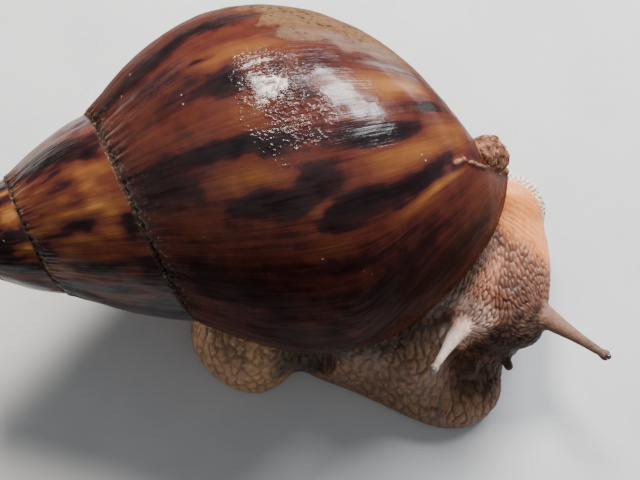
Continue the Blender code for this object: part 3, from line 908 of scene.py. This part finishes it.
def relaxed(points, edges, rounds, keep):
    """Points eased towards their neighbours; keep is the share that stays."""
    count = np.bincount(edges.ravel(), minlength=len(points))[:, None]
    for _ in range(rounds):
        total = np.zeros_like(points)
        for axis in range(3):
            total[:, axis] = (np.bincount(edges[:, 0], points[edges[:, 1], axis], len(points))
                              + np.bincount(edges[:, 1], points[edges[:, 0], axis], len(points)))
        eased = 0.5 * points + 0.5 * total / np.maximum(count, 1)
        points = mixed(eased, points, keep)
    return points


def set_points(mesh, points):
    """Moves a mesh's vertices."""
    mesh.vertices.foreach_set("co", points.astype(np.float32).ravel())
    mesh.update()


class Feeler:
    """One feeler's axis, read from its solid, from its foot on the head outwards."""

    def __init__(self, name, head_middle):
        points = points_of(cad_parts[name].data)
        middle = points.mean(axis=0)
        axis = np.linalg.svd(points - middle, full_matrices=False)[2][0]
        if (middle - head_middle) @ axis < 0:
            axis = -axis
        reach = (points - middle) @ axis
        self.foot = middle + axis * reach.min()
        self.axis = axis
        self.length = reach.max() - reach.min()

    def along(self, points):
        """0 at the feeler's foot and 1 at its tip."""
        return ((points - self.foot) @ self.axis) / self.length

    def away(self, points):
        """Distance of points from the feeler's axis."""
        offset = points - self.foot
        return span(offset - (offset @ self.axis)[:, None] * self.axis)

    def share(self, points, reach=2.4 * MM):
        """1 on the feeler, fading out on the head round its foot."""
        near = fall(self.away(points), reach * 0.8, reach * 1.25)
        along = self.along(points)
        return near * rise(along, -0.12, 0.1) * fall(along, 1.15, 1.3)


class Body:
    """Places on the soft body, read from the solids."""

    def __init__(self):
        self.head_low, self.head_high = map(np.array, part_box("head"))
        self.neck_low, self.neck_high = map(np.array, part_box("neck"))
        self.tail_low, self.tail_high = map(np.array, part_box("tail"))
        self.foot_high = np.array(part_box("foot_front")[1])
        self.head_middle = (self.head_low + self.head_high) / 2
        self.feelers = [Feeler(name, self.head_middle) for name in FEELERS]
        self.right, self.left = self.feelers[:2]

    def head_share(self, points):
        """1 on head and neck, 0 on the foot."""
        block = np.minimum(points[:, 0] - (self.neck_low[0] - 1.5 * MM), points[:, 2] - 9.5 * MM)
        return rise_mm(block, 0, 4)

    def tail_share(self, points):
        """1 on the tail."""
        return fall_mm(points[:, 0], -2, 2, self.tail_high[0])

    def feeler_share(self, points):
        """1 on all feelers."""
        return held(sum(feeler.share(points) for feeler in self.feelers))


BODY = Body()


def to_feelers(points):
    """The way towards the upper feelers, and how strongly they draw the bumps."""
    way = np.zeros_like(points)
    draw = np.zeros(len(points))
    for feeler in (BODY.right, BODY.left):
        offset = feeler.foot + feeler.axis * 0.25 * feeler.length - points
        distance = span(offset)
        pull = fall_mm(distance, 3.5, 13)
        way += offset / np.maximum(distance, 1e-9)[:, None] * pull[:, None]
        draw = np.maximum(draw, pull)
    return way, draw


def grain_field(points, normals):
    """The way the bumps lie, their length and width, and their depth."""
    head = BODY.head_share(points)
    tail = BODY.tail_share(points)[:, None]
    pulled, draw = to_feelers(points)
    drawn = draw[:, None]
    down_neck = np.array((0.14, -1, 0)) * (1 - drawn * 0.9) + pulled * 1.6
    middle = np.clip(points[:, 0], BODY.tail_low[0] + 14 * MM, BODY.foot_high[0] - 14 * MM)
    across = np.full(len(points), BODY.head_middle[1] + 12 * MM)
    outward = points - flat(middle, across, np.zeros(len(points)))
    outward[:, 2] = 0
    down_flank = unit(outward) - np.array((0, 0, 0.7))
    way = mixed(down_flank, down_neck, head[:, None])
    sizes = mixed(FOOT_BUMP, mixed(HEAD_BUMP, FOREHEAD_BUMP, drawn), head[:, None])
    sizes = mixed(sizes, TAIL_BUMP, tail)
    depth = mixed(BUMP_DEPTH, BUMP_DEPTH - 0.1 * draw, head)
    sizes = mixed(sizes, MARGIN_BUMP, beaded_margin(points, normals)[:, None])
    for feeler in BODY.feelers:
        share = feeler.share(points)
        way = mixed(way, feeler.axis, share[:, None])
        sizes = mixed(sizes, FEELER_BUMP, share[:, None])
        depth = depth * (1 - share * (0.3 + 0.66 * rise(feeler.along(points), 0.1, 0.45)))
    way = way - normals * (way * normals).sum(axis=1, keepdims=True)
    return unit(way), sizes * MM, depth * MM


def finer_field(field):
    """The same grain for the fine bumps that lie on the others."""
    way, sizes, depth = field
    return way, sizes * FINE_BUMPS, depth


def scaled_offsets(offsets, way, normal, size):
    """Distances in bump sizes, along the grain and across it."""
    along = (offsets * way).sum(axis=-1)
    above = (offsets * normal).sum(axis=-1)
    across = np.sqrt(np.maximum((offsets ** 2).sum(axis=-1) - along ** 2 - above ** 2, 0))
    return np.sqrt((along / size[..., 0]) ** 2 + (across / size[..., 1]) ** 2 + (above / size[..., 0]) ** 2)


def tree_of(points):
    """A tree that finds the points near a place."""
    tree = kdtree.KDTree(len(points))
    for index, point in enumerate(points):
        tree.insert(point, index)
    tree.balance()
    return tree


def bump_seeds(points, normals, field):
    """Bump middles at random, none closer to another than its size."""
    way, sizes, _ = field
    tree = tree_of(points)
    free = np.ones(len(points), bool)
    seeds = []
    for index in random.permutation(len(points)):
        if not free[index]:
            continue
        seeds.append(index)
        near = np.array([item[1] for item in tree.find_range(points[index], sizes[index, 0])])
        gaps = scaled_offsets(points[near] - points[index], way[index], normals[index], sizes[index][None])
        free[near[gaps < 0.86]] = False
    return np.array(seeds)


def bump_heights(points, normals, field, seeds):
    """Height of rounded bumps, 0 in a deep crease and 1 on top, and a value for each bump.

    Some creases between two bumps are shallow, most of all across the grain, so that bumps run together.
    """
    way, sizes, _ = field
    shifts = flat(*(layered(points / (1.7 * MM), 200 + 10 * axis, 2) for axis in range(3)))
    bent = points + shifts * 0.22 * sizes[:, 1:]
    tree = tree_of(seeds)
    neighbours = np.array([[item[1] for item in tree.find_n(point, 9)] for point in bent])
    gaps = scaled_offsets(seeds[neighbours] - bent[:, None], way[:, None], normals[:, None], sizes[:, None])
    order = np.argsort(gaps, axis=1)
    rows = np.arange(len(points))
    nearest, second = gaps[rows, order[:, 0]], gaps[rows, order[:, 1]]
    first_seed, second_seed = neighbours[rows, order[:, 0]], neighbours[rows, order[:, 1]]
    own = random.uniform(0, 1, len(seeds))
    in_line = np.abs((unit(seeds[second_seed] - seeds[first_seed]) * way).sum(axis=1))
    chance = (own[first_seed] + own[second_seed]) % 1
    deep = 1 - 0.65 * rise(chance + 0.3 * rise(in_line, 0.6, 0.95), 0.76, 1.05)
    width = 0.7 + 0.28 * noise(points / (2.2 * MM), 240)
    crease = 1 - deep * fall(second - nearest, 0, width) ** 1.2
    dome = 1 - 0.55 * np.clip(nearest, 0, 1.1) ** 2
    return crease * dome, own[first_seed]


# Where the skin changes.

def beaded_margin(points, normals):
    """1 on the wet, beaded edge of the neck, away from the lip; its pale colour is partly the beads' own
    and partly painted highlight.
    """
    x, y, z = points.T
    tilt = np.hypot(*np.maximum(normals[:, :2], 0).T)
    limit = 0.86 - 0.38 * rise_mm(y, -15, -8, BODY.neck_high[1])
    ragged = uneven_mm(points, 2.5, 2.5, 125)
    back = rise_mm(y, 11, 15, BODY.neck_low[1])
    front = rise_mm(x + ragged, 3, 12, BODY.neck_low[0])
    upper = rise_mm(z + ragged, 12, 18)
    return rise(tilt, limit, limit + 0.1) * back * front * upper * BODY.head_share(points)


def smooth_patch(points, normals):
    """1 on the stretched pale skin beside the lip, where bumps fade to wrinkles."""
    x, y, z = points.T
    ragged = uneven_mm(points, 2.5, 2, 120)
    back = rise_mm(y + 0.68 * (x - BODY.neck_high[0]) + ragged, 0, 5, BODY.neck_low[1])
    beside_lip = rise_mm(x + ragged * 0.3, -12, -10, BODY.neck_high[0])
    patch = rise_mm(z, 14, 19) * back * beside_lip
    return patch * (1 - beaded_margin(points, normals)) * BODY.head_share(points)


def wrinkles(points):
    """Slanting folds in stretched skin."""
    run = points[:, 0] * 0.5 + points[:, 1] * 0.86
    bend = layered(points / (4 * MM), 130) * 2.4
    fold = 0.5 + 0.5 * np.sin(run / (1.15 * MM) * TURN + bend)
    return 1 - (1 - fold) * rise(noise(points / (2.4 * MM), 135), -0.6, 0.4) * 0.7


def painted_shadow_under_face(points):
    """1 where a shadow is painted on the foot below the face: the painted shadow of the head."""
    x, y, _ = points.T
    return fall_mm(np.hypot(x - BODY.head_middle[0] + 4 * MM, y - BODY.head_low[1] - 1 * MM), 5, 12)


def shaded_share(points):
    """1 in the dark hollow beside the right upper feeler and along the lip."""
    x, y, _ = points.T
    foot = BODY.right.foot
    hollow = np.hypot((x - foot[0] + 7.5 * MM) / (5 * MM), (y - foot[1]) / (5.5 * MM))
    lip = spiral_point(np.zeros(40), np.linspace(0.6, 1.7, 40)) + APEX
    gaps = np.min(span(points[:, None, :2] - lip[None, :, :2]), axis=1)
    front = fall_mm(y, 5, 12, BODY.neck_low[1])
    return np.maximum(fall(hollow, 0.55, 1.25), fall_mm(gaps, 1, 2.9) * front)


def painted_light_beside_feeler(points):
    """Painted light: the pale triangle between the right upper feeler and the forehead."""
    x, y, _ = (points - BODY.right.foot).T
    return fall(np.hypot((x - 1.6 * MM) / (5.2 * MM), (y - 0.6 * MM) / (4.2 * MM)), 0.45, 1.15)


def painted_light_cheek(points):
    """Painted light: a lighter strip of the head from the right upper feeler back along the lip."""
    offset = points[:, :2] - BODY.right.foot[:2]
    run = np.array((4.4, 11.5)) * MM
    part = held(offset @ run / (run @ run))
    gap = span(offset - part[:, None] * run)
    inside = (offset[:, 0] + 1.5 * MM) * 0.9 - (offset[:, 1] - 1.5 * MM) * 0.44
    return fall_mm(gap + uneven_mm(points, 1.5, 0.6, 145), 2, 5) * rise_mm(inside, -0.6, 0.6)


def painted_crown_shade(points):
    """Painted shade: the half of the head towards the left upper feeler is made darker."""
    x, y, _ = points.T
    ragged = uneven_mm(points, 3, 1.2, 155)
    across = rise_mm(x + ragged, -3, 1.5, BODY.head_middle[0])
    edge = 1 - 0.35 * rise_mm(x, 4, 7, BODY.head_middle[0])
    return across * edge * rise_mm(ragged - y, -7, 2, -BODY.neck_low[1])


def before_face(points):
    """1 in front of the slanting edge where the forehead ends, where the face's painted shade begins."""
    x, y, _ = points.T
    foot = BODY.right.foot
    edge = foot[1] - 2.8 * MM + 0.52 * (x - foot[0] - 2.3 * MM)
    return rise_mm(edge - y + uneven_mm(points, 1.2, 0.7, 150, 2), -1.2, 1.2)


def painted_face_shade(points, normals):
    """1 where shade is painted: the face under the forehead, the throat, and skin that faces down."""
    under = rise(-normals[:, 2], -0.25, 0.35)
    return np.maximum(before_face(points), under) * BODY.head_share(points)


def blend_colours(base, layers):
    """Colours laid over each other, each with its share at every point."""
    colour = np.tile(np.array(base) / 1000, (len(layers[0][1]), 1))
    for over, share in layers:
        colour = mixed(colour, np.array(over) / 1000, held(share)[:, None])
    return np.column_stack((colour, np.ones(len(colour))))


def skin_colours(points, normals, pale_patch):
    """The skin's ground colour, from brown foot to pale neck and feelers, with painted light and shade on
    head and foot.
    """
    x, _, z = points.T
    head = BODY.head_share(points)
    right, left = (feeler.share(points, 2.8 * MM) for feeler in (BODY.right, BODY.left))
    right_along, left_along = (feeler.along(points) for feeler in (BODY.right, BODY.left))
    lower = sum(feeler.share(points, 1.2 * MM) for feeler in BODY.feelers[2:])
    # fold: painted shade, a near-black band low on the body in the pocket where the foot folds
    fold = rise_mm(x, -3.5, 0) * fall_mm(x, 5, 9) * rise_mm(z, 3.5, 7)
    painted_light_beside = painted_light_beside_feeler(points)
    return blend_colours((225, 108, 52), (
        ((640, 370, 190), BODY.tail_share(points) * 0.8),
        ((140, 80, 45), rise(layered(points / (4 * MM), 140), 0, 0.9) * 0.45),
        # painted shade in the pocket by the foot's fold
        ((30, 25, 17), fold * 0.85),
        # painted shadow of the head on the foot
        ((40, 24, 24), painted_shadow_under_face(points) * 0.88),
        ((255, 98, 60), head),
        # painted shade on the crown
        ((75, 32, 29), head * painted_crown_shade(points) * 0.86),
        # painted light on the cheek
        ((820, 370, 240), painted_light_cheek(points) * head * 0.9),
        ((45, 28, 22), shaded_share(points) * 0.85),
        # painted light beside the right upper feeler
        ((940, 690, 580), painted_light_beside * head * 0.9),
        ((740, 245, 64), pale_patch),
        # pale beaded edge: partly its own colour, partly painted highlight of the wet beads
        ((900, 720, 560), beaded_margin(points, normals) * 0.9),
        # painted shade on the face and throat
        ((20, 11, 12), painted_face_shade(points, normals) * (1 - painted_light_beside * 0.35) * 0.96),
        ((860, 680, 590), right * rise(right_along, 0.1, 0.38) * 0.95),
        ((260, 200, 175), rise(right_along, 0.72, 0.95) * right * 0.8),
        ((200, 118, 90), left * 0.85),
        ((85, 60, 52), rise(left_along, 0.25, 0.95) * left * 0.95),
        ((60, 42, 40), lower),
    ))


# The skin piece.

def smooth_skin():
    """The melted skin, smoothed and drawn in, and its points."""
    skin = melted_flesh()
    points = points_of(skin.data)
    edges = rows_of(skin.data.edges, "vertices", 2, np.int32)
    points = relaxed(points, edges, SKIN_SMOOTHING, BODY.feeler_share(points)[:, None] * 0.75)
    set_points(skin.data, points)
    points = points - normals_of(skin.data) * (MELT + SKIN_INSET)
    set_points(skin.data, points)
    return skin, points


def skin_bumps(points, normals, middles):
    """The bumps' height, a value for each bump, and the depth of the creases."""
    field = grain_field(points, normals)
    height, own = bump_heights(points, normals, field, middles[0])
    fine_height = bump_heights(points, normals, finer_field(field), middles[1])[0]
    return mixed(height, fine_height, 0.26 - 0.16 * BODY.head_share(points)), own, field[2]


def wet_share(points, face, pale, margin):
    """How strongly the skin shines."""
    dull = np.maximum(face, painted_shadow_under_face(points) * (points[:, 2] < BODY.head_high[2] - 3 * MM))
    wet = (1 - 0.85 * dull) * (1 - 0.4 * pale) * (1 - 0.25 * BODY.head_share(points))
    return wet * (1 + 2 * margin)


def crease_shade(points, height, pale, folds, margin):
    """Light tops and dark creases, 0 to 1."""
    shade = mixed(height, 0.7, 0.4 - 0.2 * BODY.head_share(points))
    shade = mixed(shade, 0.45 + 0.45 * folds, pale)
    shade = mixed(shade, rise(height, 0.35, 0.8), margin)
    return mixed(shade, 0.8, BODY.feeler_share(points) * 0.65)


def build_skin():
    """The one skin over all the flesh, with real bumps."""
    skin, points = smooth_skin()
    normals = normals_of(skin.data)
    field = grain_field(points, normals)
    middles = [points[bump_seeds(points, normals, grain)] for grain in (field, finer_field(field))]
    finer = skin.modifiers.new("finer", "SUBSURF")
    finer.levels = 1
    finer.render_levels = 1
    bake_modifiers(skin)
    points, normals = points_of(skin.data), normals_of(skin.data)
    height, own, depth = skin_bumps(points, normals, middles)
    pale = smooth_patch(points, normals)
    folds = wrinkles(points)
    face = painted_face_shade(points, normals)
    depth = depth * (1 - 0.9 * pale) * rise_mm(points[:, 2], 0.1, 1.2) * (1 - 0.6 * face)
    low = rise_mm(-points[:, 1], -15, -8, -BODY.neck_low[1])
    drop = depth * (1 - height) + pale * (1 - folds) * (0.06 + 0.16 * low) * MM
    points = points - normals * drop[:, None]
    points[:, 2] = np.maximum(points[:, 2], 0)
    set_points(skin.data, points)
    margin = beaded_margin(points, normals)
    store(skin.data, {
        "ground": skin_colours(points, normals, pale),
        "height": crease_shade(points, height, pale, folds, margin),
        "own": own,
        "wet": wet_share(points, face, pale, margin),
    })
    skin.data.materials.clear()
    skin.data.materials.append(skin_material())
    return settle(skin, FLESH_NODES)


def skin_material():
    """Moist skin: darker creases, paler tops and a wet film."""
    nodes = Nodes("skin")
    mottle = nodes.noise(700, 4)
    ground = nodes.attribute("ground", "Color")
    colour = nodes.mix(nodes.spread(mottle, 0.35, 0.7, 0, 0.28), ground, (300, 190, 130))
    dark = nodes.mix(1, colour, (420, 350, 320), "MULTIPLY")
    light = nodes.mix(1, colour, (1200, 1180, 1150), "MULTIPLY")
    colour = nodes.mix(nodes.spread(nodes.attribute("height"), 0.1, 0.85), dark, light)
    colour = nodes.mix(nodes.spread(nodes.attribute("own"), 0, 1, 0, 0.2), colour, (140, 90, 65))
    fine = nodes.bump(nodes.noise(2600, 3, 0.6), 0.05 * MM)
    film = nodes.bump(nodes.noise(900, 2), 0.08 * MM, Normal=fine)
    wet = nodes.attribute("wet")
    return nodes.finish(Base_Color=colour, Roughness=nodes.spread(mottle, 0.3, 0.7, 0.3, 0.46),
                        Normal=film, IOR=1.42, Subsurface_Weight=0.12, Subsurface_Scale=1.2 * MM,
                        Subsurface_Radius=(1, 0.45, 0.25), Specular_IOR_Level=nodes.times(wet, 0.36),
                        Coat_Weight=nodes.times(wet, 0.15), Coat_Roughness=0.15)


# The eyes.

def build_eye(side, dark, light):
    """One eye: a polished ball set in the end of an upper feeler."""
    low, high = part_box(f"eye_{side}")
    bm = bmesh.new()
    bmesh.ops.create_uvsphere(bm, u_segments=32, v_segments=20, radius=(high.z - low.z) / 2,
                              matrix=Matrix.Translation((low + high) / 2))
    eye = from_bmesh(bm, f"eye_ball_{side}")
    eye.data.materials.append(eye_material(f"eye_{side}", dark, light))
    return settle(eye, [f"eye_{side}"])


def eye_material(name, dark, light):
    """A wet eye with a faint brown cloud under its gloss."""
    nodes = Nodes(name)
    cloud = nodes.noise(1800, 3)
    colour = nodes.mix(nodes.spread(cloud, 0.35, 0.65), dark, light)
    rough = nodes.spread(cloud, 0.3, 0.7, 0.05, 0.12)
    return nodes.finish(Base_Color=colour, Roughness=rough, Coat_Weight=0.8, Coat_Roughness=0.03)


# Floor, lights and camera.

def add_floor():
    """A wide pale floor."""
    bm = bmesh.new()
    bmesh.ops.create_grid(bm, x_segments=1, y_segments=1, size=1.5)
    floor = from_bmesh(bm, "floor")
    nodes = Nodes("floor")
    shade = nodes.spread(nodes.noise(40, 3), 0.3, 0.7)
    colour = nodes.mix(shade, (600, 620, 630), (660, 670, 680))
    floor.data.materials.append(nodes.finish(Base_Color=colour, Roughness=0.7))


def add_lamp(name, heading, height, size, power, colour):
    """A soft rectangular lamp that faces the snail."""
    data = bpy.data.lights.new(name, "AREA")
    data.shape = "RECTANGLE"
    data.size, data.size_y = size
    data.energy = power
    data.color = colour
    lamp = linked(name, data)
    heading, height = heading * DEGREE, height * DEGREE
    level = math.cos(height)
    way = Vector((level * math.cos(heading), level * math.sin(heading), math.sin(height)))
    lamp.location = Vector((0, 0, 40 * MM)) + way * LAMP_DISTANCE
    lamp.rotation_euler = way.to_track_quat("Z", "Y").to_euler()


def add_world():
    """Soft room light, paler from above."""
    world = bpy.data.worlds.new("room")
    bpy.context.scene.world = world
    world.use_nodes = True
    tree = world.node_tree
    background = tree.nodes["Background"]
    way = tree.nodes.new("ShaderNodeTexCoord").outputs["Generated"]
    split = tree.nodes.new("ShaderNodeSeparateXYZ")
    tree.links.new(way, split.inputs[0])
    ramp = tree.nodes.new("ShaderNodeValToRGB")
    tree.links.new(split.outputs["Z"], ramp.inputs["Fac"])
    ramp.color_ramp.elements[0].color = (0.16, 0.155, 0.15, 1)
    ramp.color_ramp.elements[1].color = (0.62, 0.64, 0.66, 1)
    tree.links.new(ramp.outputs["Color"], background.inputs["Color"])
    background.inputs["Strength"].default_value = 0.58


def add_camera():
    """The camera, looking down at a slant."""
    centre = Vector(APEX) - Vector(APEX_FROM_VIEW) * MM
    centre.z = VIEW_HEIGHT
    data = bpy.data.cameras.new("camera")
    data.lens = LENS
    data.sensor_width = SENSOR
    data.clip_start = 0.01
    camera = linked("camera", data)
    away = Vector((0, -math.cos(VIEW_TILT), math.sin(VIEW_TILT)))
    camera.location = centre + away * VIEW_DISTANCE
    camera.rotation_euler = (math.pi / 2 - VIEW_TILT, 0, 0)
    bpy.context.scene.camera = camera


add_camera()
add_floor()
add_world()
add_lamp("window", 53, 36, (0.3, 0.17), 4.5, (0.95, 0.96, 1))
add_lamp("lamp", 98, 52, (0.14, 0.12), 4.4, (1, 0.93, 0.84))
build_shell()
build_skin()
build_eye("left", (24, 18, 17), (60, 45, 38))
build_eye("right", (85, 68, 60), (190, 160, 142))
